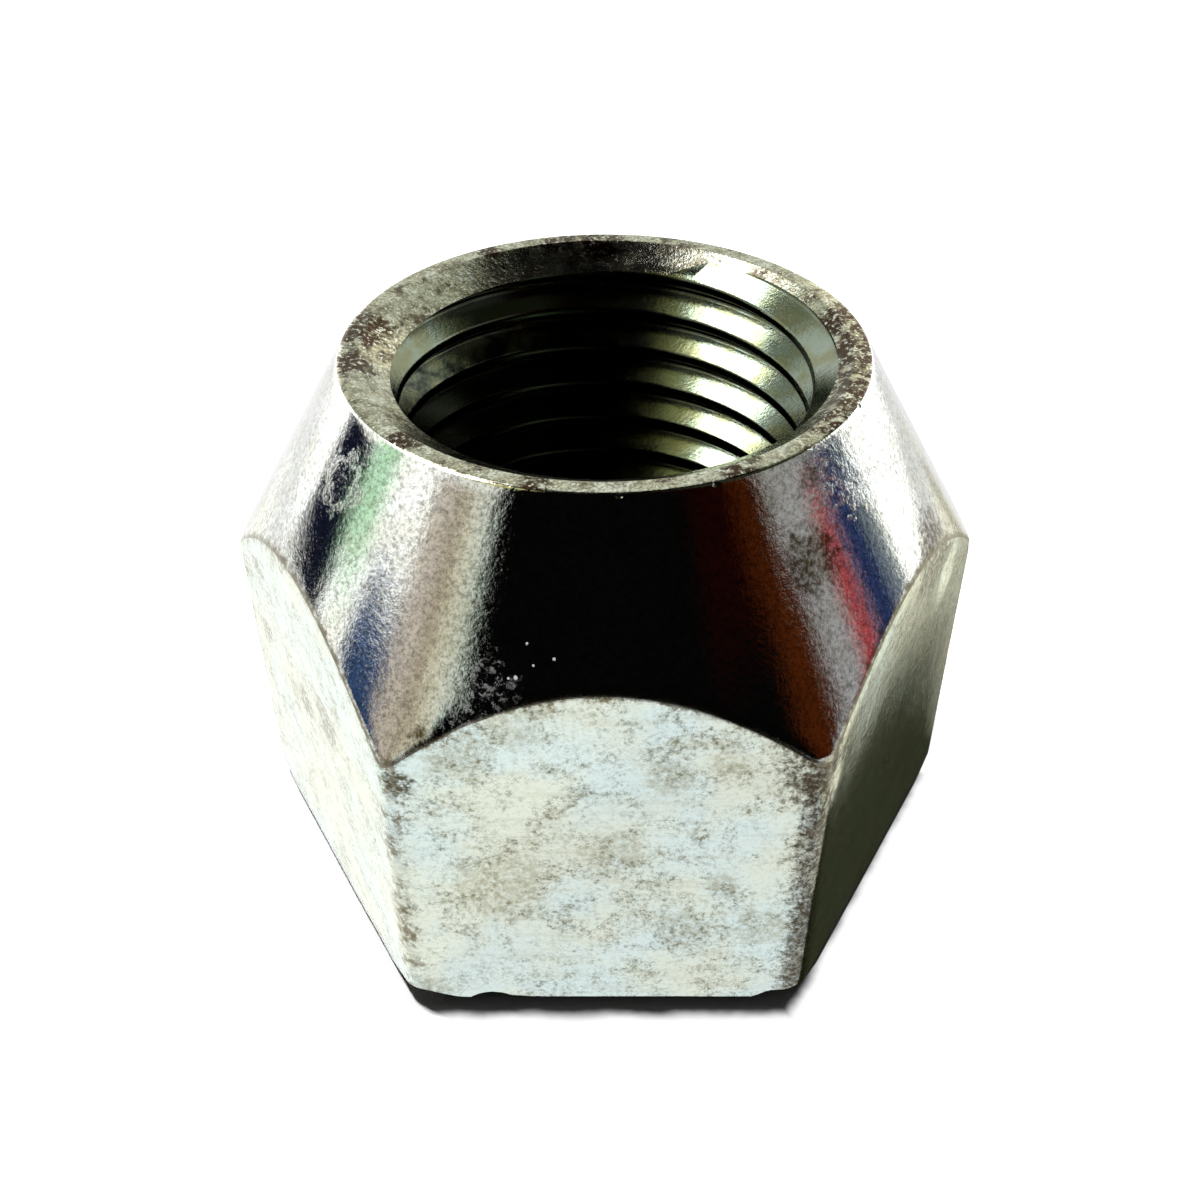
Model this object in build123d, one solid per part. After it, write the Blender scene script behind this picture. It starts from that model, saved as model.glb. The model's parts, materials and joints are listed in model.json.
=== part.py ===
# Open-ended conical-seat lug nut, as one forged and turned solid.
#
# The nut stands on its hexagonal end with the seat cone upwards. Millimetres.
# The origin is the centre of the base, +Z runs along the thread axis towards the
# seat, one pair of flats faces -Y and +Y, and two corners lie on the X axis.

from build123d import *
import math
import os

# ---- Driving dimensions ------------------------------------------------------

# Forged blank
across_flats = 19.05         # wrench size of the hexagon, 3/4 inch
nut_height = 16.0            # base to rim, along the thread axis
corner_round = 0.55          # round on the six upright corners

# Base, the end that faces away from the wheel
base_bevel_width = 0.87      # how far the turned bevel reaches in from the sharp corners
base_bevel_angle = 40.0      # bevel, measured up from the base
base_round = 0.2             # round along the foot of the flats and bevels

# Seat, the end that centres the wheel
seat_angle = 60.0            # included angle of the cone
rim_land = 0.5               # flat ring between the countersink and the cone
shoulder_round = 0.7         # round between the cone and the hexagon
rim_round = 0.2              # round between the rim and the cone

# Tapped bore
thread_dia = 12.7            # nominal size of the stud thread, 1/2 inch
thread_pitch = 1.27          # 20 turns to the inch
countersink_angle = 120.0    # included angle at both mouths
mouth_over = 0.6             # width of each mouth, over the thread's size

# How far the turned outline runs outside the corners, where it cuts only air
TURNING_CLEARANCE = 1.0

# ---- Values that follow ------------------------------------------------------

# An internal 60 degree thread stands 5/8 of the height of its sharp triangle
# into the bore, so the drilled bore is the nominal size less twice that height.
THREAD_DEPTH_PER_PITCH = 5 / 8 * math.sqrt(3) / 2
bore_radius = thread_dia / 2 - THREAD_DEPTH_PER_PITCH * thread_pitch

mouth_radius = (thread_dia + mouth_over) / 2
rim_radius = mouth_radius + rim_land

sharp_corner_radius = across_flats / 2 / math.cos(math.radians(30))
bevel_radius = sharp_corner_radius - base_bevel_width
turning_radius = sharp_corner_radius + TURNING_CLEARANCE


def slope(angle):
    """Rise for each millimetre of run of a face at an angle to the horizontal."""
    return math.tan(math.radians(angle))


def ring(points):
    """Solid of revolution about +Z of a closed outline of (radius, height) points."""
    outline = Polyline([(radius, 0, height) for radius, height in points], close=True)
    return revolve(make_face(outline), Axis.Z)


def hex_bar():
    """Hexagonal bar with its upright corners rounded, flats towards -Y and +Y."""
    hexagon = RegularPolygon(across_flats / 2, 6, major_radius=False, rotation=0)
    bar = extrude(hexagon, nut_height)
    return fillet(bar.edges().filter_by(Axis.Z), corner_round)


def turning_envelope():
    """Everything inside the turned faces: base bevel, seat cone and rim."""
    bevel_top = (turning_radius - bevel_radius) * slope(base_bevel_angle)
    cone_fall = (turning_radius - rim_radius) * slope(90 - seat_angle / 2)
    return ring([
        (0, 0),
        (bevel_radius, 0),
        (turning_radius, bevel_top),
        (turning_radius, nut_height - cone_fall),
        (rim_radius, nut_height),
        (0, nut_height),
    ])


def bore_cutter():
    """Drilled bore with a countersink at each mouth."""
    mouth_depth = (mouth_radius - bore_radius) * slope(90 - countersink_angle / 2)
    return ring([
        (0, 0),
        (mouth_radius, 0),
        (bore_radius, mouth_depth),
        (bore_radius, nut_height - mouth_depth),
        (mouth_radius, nut_height),
        (0, nut_height),
    ])


def on_shoulder(edge):
    """True of the cone's wavy edges, but not of its rim circle or its seam line."""
    return edge.geom_type not in (GeomType.CIRCLE, GeomType.LINE)


def round_seat_end(body):
    """Round the wavy shoulder where the cone meets the hexagon, then the rim's outer edge."""
    cone = body.faces().filter_by(GeomType.CONE).sort_by(Axis.Z)[-1]
    body = fillet(cone.edges().filter_by(on_shoulder), shoulder_round)
    rim_edge = body.edges().filter_by(GeomType.CIRCLE).sort_by(Axis.Z)[-1]
    return fillet(rim_edge, rim_round)


def round_base(body):
    """Break the edge all round the base."""
    base = body.faces().filter_by(GeomType.PLANE).sort_by(Axis.Z)[0]
    return fillet(base.outer_wire().edges(), base_round)


def lug_nut():
    """The whole nut."""
    blank = hex_bar() & turning_envelope()
    rounded = round_base(round_seat_end(blank))
    return rounded - bore_cutter()


os.makedirs("parts", exist_ok=True)
nut = lug_nut()
nut.label = "lug_nut"
export_step(nut, "parts/lug_nut.step")

size = nut.bounding_box().size
print(f"lug_nut: {size.X:.3f} x {size.Y:.3f} x {size.Z:.3f} mm, volume {nut.volume:.1f} mm3")
print(f"bore radius {bore_radius:.4f} mm")
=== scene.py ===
# %% [markdown]
# # A conical-seat lug nut
# The nut is one forging of steel, turned to a cone at one end, tapped right through
# and plated with zinc. The CAD model fixes its sizes, and here it gets what a drawing
# leaves out: the turns of thread, the worn edges, the small dents and the finish of
# each surface. The frame comes first, because everything is measured from it.

# %% Load the frame
import json
import math
import random

import bmesh
import bpy
from mathutils import Matrix, Vector, noise

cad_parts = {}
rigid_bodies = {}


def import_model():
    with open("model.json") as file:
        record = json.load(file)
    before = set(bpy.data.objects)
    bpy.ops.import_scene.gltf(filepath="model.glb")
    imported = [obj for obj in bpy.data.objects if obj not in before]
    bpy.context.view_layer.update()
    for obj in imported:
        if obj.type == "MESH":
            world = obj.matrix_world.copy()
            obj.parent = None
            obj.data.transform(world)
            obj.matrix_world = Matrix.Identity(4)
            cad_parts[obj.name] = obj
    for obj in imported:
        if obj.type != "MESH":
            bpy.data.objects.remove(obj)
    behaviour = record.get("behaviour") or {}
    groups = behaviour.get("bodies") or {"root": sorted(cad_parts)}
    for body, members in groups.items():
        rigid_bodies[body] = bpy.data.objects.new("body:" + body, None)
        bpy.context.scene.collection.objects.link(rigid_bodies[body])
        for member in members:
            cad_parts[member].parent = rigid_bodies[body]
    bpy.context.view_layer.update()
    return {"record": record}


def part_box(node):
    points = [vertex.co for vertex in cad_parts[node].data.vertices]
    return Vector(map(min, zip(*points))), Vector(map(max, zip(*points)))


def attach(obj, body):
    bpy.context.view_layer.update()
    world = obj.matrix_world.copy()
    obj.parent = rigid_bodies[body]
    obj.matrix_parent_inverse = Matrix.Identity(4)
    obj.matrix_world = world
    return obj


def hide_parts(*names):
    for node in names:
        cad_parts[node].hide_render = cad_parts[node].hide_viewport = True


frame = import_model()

MM = 0.001
_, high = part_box("lug_nut")
height = high.z
flat_reach = high.y
thread_mount = next(m for m in frame["record"]["mounts"] if m["name"] == "thread")
bore_radius = thread_mount["dims"]["r_mm"] * MM
print(f"nut {height / MM:.2f} mm high, {2 * flat_reach / MM:.2f} mm across flats")

# %% [markdown]
# ## The camera
# A camera held a few centimetres from the nut spreads the cone and shrinks the foot. It
# could be placed by eye, but then no one could say where it stands. Here it stands on a
# sphere round the nut's middle and looks at it, and a small shift finishes the framing.

# %% Camera
CAMERA_AZIMUTH = math.radians(0.12)
CAMERA_ELEVATION = math.radians(37.88)
CAMERA_DISTANCE = 41.93 * MM
CAMERA_ROLL = math.radians(-0.13)
FOCAL_LENGTH = 41.24              # mm, for a sensor as wide as a 35 mm film frame
SENSOR_WIDTH = 36
SHIFT = (-0.0042, -0.0181)
NEAREST = 1 * MM                  # the camera sees nothing closer than this
FARTHEST = 5.0                    # or further off than this, in metres

target = Vector((0, 0, height / 2))
back = Vector((
    math.sin(CAMERA_AZIMUTH) * math.cos(CAMERA_ELEVATION),
    -math.cos(CAMERA_AZIMUTH) * math.cos(CAMERA_ELEVATION),
    math.sin(CAMERA_ELEVATION),
))
lens_data = bpy.data.cameras.new("camera")
lens_data.lens = FOCAL_LENGTH
lens_data.sensor_width = SENSOR_WIDTH
lens_data.shift_x, lens_data.shift_y = SHIFT
lens_data.clip_start = NEAREST
lens_data.clip_end = FARTHEST
camera = bpy.data.objects.new("camera", lens_data)
bpy.context.scene.collection.objects.link(camera)
camera.matrix_world = (
    Matrix.Translation(target + back * CAMERA_DISTANCE)
    @ (-back).to_track_quat("-Z", "Y").to_matrix().to_4x4()
    @ Matrix.Rotation(CAMERA_ROLL, 4, "Z")
)
bpy.context.scene.camera = camera
bpy.context.scene.view_settings.view_transform = "Standard"
print(f"camera {CAMERA_DISTANCE / MM:.1f} mm from the nut's middle")

# %% [markdown]
# ## The outline of the wall
# Cut the nut with a half-plane through its axis and the cut is a closed outline: base,
# bevel, flat, cone, rim, countersink and bore. Only the hexagon's reach changes from one
# angle to the next, so one function draws the outline at any angle. Each corner of it
# is rounded by an arc, because no edge of a tumbled and plated part is sharp. The nut
# could also be a hexagonal bar cut by a cone, but its rounds would then be bevelled one
# by one, and an outline with its rounds in it gives even rows of faces instead.

# %% Sizes of the nut
BEVEL_RADIUS = 10.13 * MM         # the turned bevel leaves the base here
BEVEL_RISE = math.tan(math.radians(40))
CONE_FALL = math.tan(math.radians(60))
COUNTERSINK_FALL = math.tan(math.radians(30))
RIM_RADIUS = 7.15 * MM
MOUTH_RADIUS = 6.65 * MM          # of the countersink at each end
CORNER_ROUND = 0.55 * MM
EDGE_BREAK = 0.25 * MM            # least width of the broken edge at the foot of a flat

CORNERS = 6
CORNER_ANGLE = math.radians(360 / CORNERS)


def from_corner(angle):
    """Signed angle from the nearest upright corner of the hexagon."""
    return (angle + CORNER_ANGLE / 2) % CORNER_ANGLE - CORNER_ANGLE / 2


def hexagon_reach(angle):
    """Distance from the axis to the side of the rounded hexagon at this angle."""
    aside = from_corner(angle)
    from_flat = CORNER_ANGLE / 2 - abs(aside)
    on_flat = flat_reach / math.cos(from_flat)
    centre = (flat_reach - CORNER_ROUND) / math.cos(CORNER_ANGLE / 2)
    arc_ends = math.atan((flat_reach - CORNER_ROUND) * math.tan(CORNER_ANGLE / 2) / flat_reach)
    if from_flat <= arc_ends:
        return on_flat
    across = centre * math.sin(aside)
    return centre * math.cos(aside) + math.sqrt(CORNER_ROUND ** 2 - across ** 2)


print(f"reach {hexagon_reach(0) / MM:.3f} mm at a corner, CAD {high.x / MM:.3f} mm")

# %% Outline at one angle
SIDES = ["base", "bevel", "flat", "cone", "rim", "rim_mouth", "bore", "base_mouth"]
STEPS = {
    "base": 6, "bevel": 2, "flat": 22, "cone": 20,
    "rim": 4, "rim_mouth": 3, "bore": 1, "base_mouth": 3,
}
ARC_STEPS = 4
ROUNDS = {  # mm, of the arc at each corner of the outline
    "base_mouth": 0.06, "base": 0.15, "foot": 0.30, "shoulder": 0.75, "rim": 0.16, "rim_mouth": 0.10,
}
SHOULDER_EXTRA = 0.45             # mm more on the shoulder's round at an upright corner
CORNER_REACH = math.radians(9)    # how far to each side of a corner that is felt


def outline_corners(angle):
    """Corners of the outline from the base's mouth, each a (radius, height) point and its round."""
    reach = hexagon_reach(angle)
    corner = 1 - min(1, abs(from_corner(angle)) / CORNER_REACH)
    shoulder_round = ROUNDS["shoulder"] + SHOULDER_EXTRA * corner
    bevel_in = min(BEVEL_RADIUS, reach - EDGE_BREAK)
    foot = (reach - bevel_in) * BEVEL_RISE
    shoulder = height - (reach - RIM_RADIUS) * CONE_FALL
    depth = (MOUTH_RADIUS - bore_radius) * COUNTERSINK_FALL
    return [
        (Vector((MOUTH_RADIUS, 0)), ROUNDS["base_mouth"] * MM),
        (Vector((bevel_in, 0)), ROUNDS["base"] * MM),
        (Vector((reach, foot)), ROUNDS["foot"] * MM),
        (Vector((reach, shoulder)), shoulder_round * MM),
        (Vector((RIM_RADIUS, height)), ROUNDS["rim"] * MM),
        (Vector((MOUTH_RADIUS, height)), ROUNDS["rim_mouth"] * MM),
        (Vector((bore_radius, height - depth)), 0.0),
        (Vector((bore_radius, depth)), 0.0),
    ]


def arc(corner, before, after, size):
    """Points of the round at a corner, from the side that comes before to the one after."""
    if not size:
        return [corner]
    towards, away = (before - corner).normalized(), (after - corner).normalized()
    half = towards.angle(away) / 2
    centre = corner + (towards + away).normalized() * size / math.sin(half)
    start = corner + towards * size / math.tan(half) - centre
    end = corner + away * size / math.tan(half) - centre
    sweep = start.angle_signed(end)
    return [centre + Matrix.Rotation(-sweep * k / ARC_STEPS, 2) @ start for k in range(ARC_STEPS + 1)]


def outline(angle):
    """The whole outline at this angle: points in order, and the side that each one starts."""
    corners = outline_corners(angle)
    rounds = []
    for k, (corner, size) in enumerate(corners):
        before, after = corners[k - 1][0], corners[(k + 1) % len(corners)][0]
        rounds.append(arc(corner, before, after, size))
    points, sides = [], []
    for k, side in enumerate(SIDES):
        here, there = rounds[k], rounds[(k + 1) % len(rounds)]
        first_half = len(here) // 2
        points += here
        sides += [SIDES[k - 1]] * first_half + [side] * (len(here) - first_half)
        for step in range(1, STEPS[side]):
            points.append(here[-1].lerp(there[0], step / STEPS[side]))
            sides.append(side)
    return points, sides


points, station_sides = outline(0)
print(f"outline of {len(points)} points on {len(SIDES)} sides")

# %% [markdown]
# ## Spinning the blank
# Spin turns the outline about the axis into a closed ring of faces, as a lathe would.
# Each column of points is then pushed to its own outline, which presses the six flats
# into the ring. The columns are drawn together near the corners, where the shape turns
# fastest, by taking a little of a sine from each angle.

# %% Spin
COLUMNS = 360
CROWDING = 0.12                   # radians, the most that a column is drawn to a corner


def spun(name, start_points, columns):
    """A ring spun from points in the XZ half-plane; each vertex keeps its place in the outline."""
    bm = bmesh.new()
    station = bm.verts.layers.int.new("station")
    verts = []
    for k, p in enumerate(start_points):
        v = bm.verts.new((p.x, 0, p.y))
        v[station] = k
        verts.append(v)
    edges = [bm.edges.new((verts[k - 1], verts[k])) for k in range(len(verts))]
    bmesh.ops.spin(
        bm, geom=verts + edges, cent=(0, 0, 0), axis=(0, 0, 1), angle=2 * math.pi,
        steps=columns, use_merge=True, use_duplicate=False,
    )
    print(f"{name}: {len(bm.verts)} points, {len(bm.faces)} faces")
    return bm, station


blank, station = spun("blank", points, COLUMNS)

# %% Press the flats
ZONES = ["forged", "turned", "faced", "tapped"]
ZONE_OF_SIDE = {
    "base": "faced", "bevel": "faced", "flat": "forged", "cone": "turned", "rim": "faced",
    "rim_mouth": "faced", "bore": "tapped", "base_mouth": "faced",
}
zinc = [bpy.data.materials.new("zinc_" + zone) for zone in ZONES]
outlines = {}
for v in blank.verts:
    column = round(math.atan2(v.co.y, v.co.x) / (2 * math.pi) * COLUMNS) % COLUMNS
    plain = column * 2 * math.pi / COLUMNS
    angle = plain - CROWDING * math.sin(CORNERS * plain)
    if column not in outlines:
        outlines[column] = outline(angle)[0]
    p = outlines[column][v[station]]
    v.co = (p.x * math.cos(angle), p.x * math.sin(angle), p.y)

last = len(station_sides) - 1
for face in blank.faces:
    found = sorted({v[station] for v in face.verts})
    first = last if found == [0, last] else found[0]
    face.material_index = ZONES.index(ZONE_OF_SIDE[station_sides[first]])
bmesh.ops.recalc_face_normals(blank, faces=blank.faces)
print(f"pressed {COLUMNS} columns, volume {blank.calc_volume() / MM ** 3:.0f} mm3")

# %% [markdown]
# ## Small unevenness
# A forged flat is never a true plane, and a turned cone is rounder but not perfect. Soft
# noise moves the points a few hundredths of a millimetre, less on the cone, so
# that reflections bend a little as they do on the real part. It could be a bump in the
# finish, but moved points show at the edges too. Nothing moves outwards, because the
# finished nut has to stay inside the CAD model's box.

# %% Unevenness
FORGED_UNEVENNESS = 0.035 * MM
TURNED_UNEVENNESS = 0.006 * MM
UNEVEN_SIDES = {"flat": FORGED_UNEVENNESS, "bevel": FORGED_UNEVENNESS, "cone": TURNED_UNEVENNESS}
UNEVEN_LUMPS = 3.2 * MM


def waviness(place, size):
    """Noise from 0 to 1 at a place, with lumps about this size."""
    return 0.5 + 0.5 * max(-1, min(1, noise.noise(place / size)))


for v in blank.verts:
    depth = UNEVEN_SIDES.get(station_sides[v[station]], 0)
    if depth:
        inward = Vector((v.co.x, v.co.y, 0)).normalized()
        v.co -= inward * depth * waviness(v.co, UNEVEN_LUMPS)
print(f"uneven by up to {FORGED_UNEVENNESS / MM:.3f} mm on {', '.join(UNEVEN_SIDES)}")

# %% [markdown]
# ## Dents
# Nuts are tumbled in barrels and fall against each other, so the flats and the corners
# carry shallow dents. Each one is a soft push towards the axis, deepest in its middle.
# They could be sculpted by hand, but a list of places and depths is easier to change.

# %% Dents
DENTS = [  # x, y, z, radius and depth in mm
    (-5.2, -9.4, 8.6, 0.9, 0.10), (5.3, -9.3, 8.8, 1.0, 0.12), (-2.9, -9.6, 0.5, 1.1, 0.05),
    (4.6, -9.5, 0.6, 0.5, 0.10), (9.6, -2.5, 10.2, 1.0, 0.10), (-3.4, -9.5, 10.6, 0.8, 0.05),
    (1.2, -9.5, 4.5, 1.3, 0.03), (-10.4, -0.9, 8.6, 0.8, 0.10), (6.3, 8.2, 6.0, 1.2, 0.06),
    (-8.3, 4.7, 5.0, 1.4, 0.05), (0.8, 9.5, 7.8, 1.0, 0.06), (8.3, 4.7, 3.0, 0.9, 0.05),
]

for x, y, z, radius, depth in DENTS:
    centre = Vector((x, y, z)) * MM
    moved = 0
    for v in blank.verts:
        gap = (v.co - centre).length / (radius * MM)
        if gap < 1:
            inward = Vector((v.co.x, v.co.y, 0)).normalized()
            v.co -= inward * depth * MM * (1 - gap * gap) ** 2
            moved += 1
    print(f"dent at {x}, {y}, {z}: {moved} points")

# %% [markdown]
# ## The tap
# The thread is cut by a tap, and so it is here: a ridge with the shape of the groove is
# spun up a helix and taken out of the bore. Its section is as wide at the mouth and at
# the root as the standard 60 degree thread's. The root is rounded, and the mouth flares
# to break the edge of the crest, so each flank leans about 3 degrees more than the
# standard's 30. It starts and ends outside the nut, so the groove feathers out of both
# countersinks by itself. Stripes in the finish would be quicker, but the bore is open
# to view and the turns have to cover each other as real ones do.

# %% Tap
PITCH = 1.27 * MM                 # 20 turns to the inch
THREAD_RADIUS = 6.35 * MM
THREAD_START = math.radians(54)
TAP_STEPS = 120                   # steps in one turn
TAP_OVERRUN = 1.5                 # turns past each end of the bore
CREST_BREAK = (0.05 * MM, 0.090 * MM)    # depth, and width at the bore, of the broken crest
TAP_CLEAR = (0.13 * MM, 0.150 * MM)      # how far the tap stands out of the steel, and its flare there
ROOT_ROUND = (0.05 * MM, 0.02 * MM)      # depth of the rounded root, and width added where it starts
ROOT_TIP = 0.015 * MM                    # depth of the root's last step


def tap_section():
    """Half of the groove's section as (radius, half width), from the bore out to the root."""
    mouth_half = PITCH * 3 / 8
    root_half = PITCH / 16
    return [
        (bore_radius - TAP_CLEAR[0], mouth_half + TAP_CLEAR[1]),
        (bore_radius, mouth_half + CREST_BREAK[1]),
        (bore_radius + CREST_BREAK[0], mouth_half),
        (THREAD_RADIUS - ROOT_ROUND[0], root_half + ROOT_ROUND[1]),
        (THREAD_RADIUS - ROOT_TIP, root_half / 2),
        (THREAD_RADIUS, 0),
    ]


def tap():
    """The helical ridge, as a closed bmesh."""
    half = tap_section()
    ring = [(r, -w) for r, w in half] + [(r, w) for r, w in reversed(half[:-1])]
    bm = bmesh.new()
    verts = [bm.verts.new((r, 0, w - TAP_OVERRUN * PITCH)) for r, w in ring]
    edges = [bm.edges.new((verts[k - 1], verts[k])) for k in range(len(verts))]
    turns = height / PITCH + 2 * TAP_OVERRUN
    steps = round(turns * TAP_STEPS)
    bmesh.ops.spin(
        bm, geom=verts + edges, cent=(0, 0, 0), axis=(0, 0, 1), dvec=(0, 0, PITCH / TAP_STEPS),
        angle=2 * math.pi * steps / TAP_STEPS, steps=steps, use_merge=False, use_duplicate=False,
    )
    bmesh.ops.holes_fill(bm, edges=[e for e in bm.edges if e.is_boundary])
    turn = Matrix.Rotation(THREAD_START, 3, "Z")
    bmesh.ops.rotate(bm, verts=bm.verts, cent=(0, 0, 0), matrix=turn)
    bmesh.ops.recalc_face_normals(bm, faces=bm.faces)
    for face in bm.faces:
        face.material_index = ZONES.index("tapped")
    print(f"tap: {turns:.1f} turns, {len(bm.faces)} faces, volume {bm.calc_volume() / MM ** 3:.0f} mm3")
    return bm


groove_width = 2 * dict(tap_section())[bore_radius]
groove_depth = THREAD_RADIUS - bore_radius
print(f"groove {groove_depth / MM:.3f} mm deep, {groove_width / MM:.2f} mm wide at the bore")

# %% [markdown]
# ## Chips
# Hard knocks take small flakes off the edges. Each flake is a squashed ball set into an
# edge, to be taken out of the nut. One long flake at the front foot and a few single
# nicks are listed one by one, because an even scatter never looks worn by itself. The rest
# are scattered along the foot and the rim from a fixed seed, and noise roughens them all.

# %% Places of the chips
PLACED_CHIPS = [  # x, y, z of the middle, then length, depth and height, in mm
    (-3.05, -9.56, 0.10, 0.95, 0.26, 0.42), (4.63, -9.52, 0.30, 0.22, 0.16, 0.24),
    (-4.50, -9.50, 0.20, 0.16, 0.14, 0.18), (5.75, -9.35, 9.00, 0.30, 0.20, 0.22),
    (-5.75, -9.40, 8.30, 0.20, 0.16, 0.40), (10.85, -0.20, 9.40, 0.18, 0.35, 0.30),
    (-1.90, -9.56, 0.05, 0.32, 0.24, 0.30), (2.30, -9.56, 0.04, 0.60, 0.18, 0.18),
    (4.95, -9.45, 0.22, 0.30, 0.20, 0.26), (-5.20, -9.40, 0.20, 0.26, 0.22, 0.20),
]
SCATTERED = 36                    # half of them along the foot and half along the rim
SCATTER_SEED = 12
SCATTER_SPREAD = 0.6              # share of its step that a chip may wander
SCATTER_SIZES = [(0.08, 0.2), (0.05, 0.10), (0.06, 0.12)]  # least and most length, depth and height
CHIP_HEIGHT = 0.1                 # mm up from the base, for the chips along the foot
RIM_OFFSET = (0.05, 0.02)         # mm out from and up from the rim's edge, for the others
CHIP_TURN = 0.2                   # radians either way about the upright
CHIP_TILT = 0.5                   # radians either way from level
CHIP_ROUGHNESS = 0.03 * MM
CHIP_GRAIN = 0.12 * MM


def chip_places(rng):
    """Place, size and turn of each chip: those listed one by one, then the scattered ones."""
    places = [((x, y, z), size, math.atan2(y, x) + math.pi / 2) for x, y, z, *size in PLACED_CHIPS]
    for k in range(SCATTERED):
        angle = 2 * math.pi * (k + rng.random() * SCATTER_SPREAD) / SCATTERED
        at_foot = k % 2 == 0
        radius = hexagon_reach(angle) / MM if at_foot else RIM_RADIUS / MM + RIM_OFFSET[0]
        z = CHIP_HEIGHT if at_foot else height / MM + RIM_OFFSET[1]
        size = [rng.uniform(least, most) for least, most in SCATTER_SIZES]
        place = (radius * math.cos(angle), radius * math.sin(angle), z)
        places.append((place, size, angle + math.pi / 2))
    print(f"{len(places)} chips")
    return places


# %% Chips
def chips():
    """All the flakes, as one bmesh of separate squashed balls."""
    rng = random.Random(SCATTER_SEED)
    bm = bmesh.new()
    for place, size, turn in chip_places(rng):
        matrix = (
            Matrix.Translation(Vector(place) * MM)
            @ Matrix.Rotation(turn + rng.uniform(-CHIP_TURN, CHIP_TURN), 4, "Z")
            @ Matrix.Rotation(rng.uniform(-CHIP_TILT, CHIP_TILT), 4, "Y")
            @ Matrix.Diagonal((*[a * MM for a in size], 1))
        )
        bmesh.ops.create_icosphere(bm, subdivisions=2, radius=1, matrix=matrix)
    for v in bm.verts:
        outward = (v.co - Vector((0, 0, v.co.z))).normalized()
        v.co += outward * CHIP_ROUGHNESS * noise.noise(v.co / CHIP_GRAIN)
    for face in bm.faces:
        face.material_index = ZONES.index("forged")
    return bm


# %% [markdown]
# ## Cutting
# The tap and the chips are taken out of the blank one after the other by Boolean
# modifiers. The exact solver is used, because the thread runs out of the countersinks in
# thin feather edges that the fast solver loses. The result is read back at once, so no
# modifier stays on the nut, and each cut face keeps the finish of the tool that cut it.

# %% Cut the thread and the chips
def as_object(bm, name, materials=()):
    """Puts a bmesh into a new object of the scene and frees it."""
    mesh = bpy.data.meshes.new(name)
    for material in materials:
        mesh.materials.append(material)
    bm.to_mesh(mesh)
    bm.free()
    made = bpy.data.objects.new(name, mesh)
    bpy.context.scene.collection.objects.link(made)
    return made


def cut(piece, tool):
    """Takes a tool out of a piece for good, and throws the tool away."""
    modifier = piece.modifiers.new("cut", "BOOLEAN")
    modifier.operation = "DIFFERENCE"
    modifier.solver = "EXACT"
    modifier.object = tool
    shape = piece.evaluated_get(bpy.context.evaluated_depsgraph_get())
    mesh = bpy.data.meshes.new_from_object(shape)
    piece.modifiers.remove(modifier)
    old = piece.data
    piece.data = mesh
    bpy.data.meshes.remove(old)
    bpy.data.objects.remove(tool)


nut = as_object(blank, "lug_nut_finished", zinc)
cut(nut, as_object(tap(), "tap", zinc))
cut(nut, as_object(chips(), "chips", zinc))
print(f"tapped: {len(nut.data.polygons)} faces")

# %% [markdown]
# ## Clean mesh
# A Boolean leaves a few slivers where two faces nearly meet. Points closer than a
# micrometre are merged, and the faces are smoothed except across real edges. The exact
# solver shares its work between threads and hands the points back in another order each
# time, and merging depends on that order. So they are first put in order of place, and
# every run then gives the same nut.

# %% Finish the mesh
MERGE_GAP = 0.001 * MM
SHARP_ANGLE = math.radians(32)



def put_in_order(bm):
    """Orders the points by where they are, then the edges and faces by their points."""
    for k, v in enumerate(sorted(bm.verts, key=lambda v: v.co[:])):
        v.index = k
    bm.verts.sort()
    for parts in (bm.edges, bm.faces):
        for k, part in enumerate(sorted(parts, key=lambda part: sorted(v.index for v in part.verts))):
            part.index = k
        parts.sort()


bm = bmesh.new()
bm.from_mesh(nut.data)
put_in_order(bm)
bmesh.ops.remove_doubles(bm, verts=bm.verts, dist=MERGE_GAP)
bmesh.ops.dissolve_degenerate(bm, dist=MERGE_GAP / 2, edges=bm.edges)
open_edges = sum(not e.is_manifold for e in bm.edges)
triangles = sum(len(f.verts) - 2 for f in bm.faces)
print(f"nut: {triangles} triangles, {open_edges} open edges, {bm.calc_volume() / MM ** 3:.0f} mm3")
bm.to_mesh(nut.data)
bm.free()
nut.data.shade_smooth()
nut.data.set_sharp_from_angle(angle=SHARP_ANGLE)
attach(nut, "root")
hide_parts("lug_nut")

# %% [markdown]
# ## Marks for the finishes
# The thread is darker towards its roots, and the plate is rubbed through on the edges.
# Each point of the mesh therefore keeps two numbers that a material can read: how close
# it is to an outer edge, and how deep it lies in the thread. They could be painted by
# hand, but the outline already says where the edges are.

# %% Edge and root attributes
EDGE_WIDTH = 0.7 * MM
BORE_MARGIN = 1.2 * MM            # nothing this near the bore counts as an outer edge
CORNER_SHARE = 0.4                # of the corner's round, which counts as the edge itself


def edge_closeness(co):
    """1 on a shoulder, an upright corner or the foot of the nut, falling to 0 at the edge width."""
    angle, radius = math.atan2(co.y, co.x), math.hypot(co.x, co.y)
    reach = hexagon_reach(angle)
    if radius < bore_radius + BORE_MARGIN:
        return 0.0
    shoulder = height - (reach - RIM_RADIUS) * CONE_FALL
    gaps = [abs(co.z - shoulder), math.hypot(radius - reach, co.z)]
    if co.z < shoulder:
        gaps.append(max(0, abs(from_corner(angle)) * reach - CORNER_ROUND * CORNER_SHARE))
    return max(0.0, 1 - min(gaps) / EDGE_WIDTH)


def thread_depth(co):
    """0 at the crest of the thread and 1 at its root."""
    return min(1.0, max(0.0, (math.hypot(co.x, co.y) - bore_radius) / (THREAD_RADIUS - bore_radius)))


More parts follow.
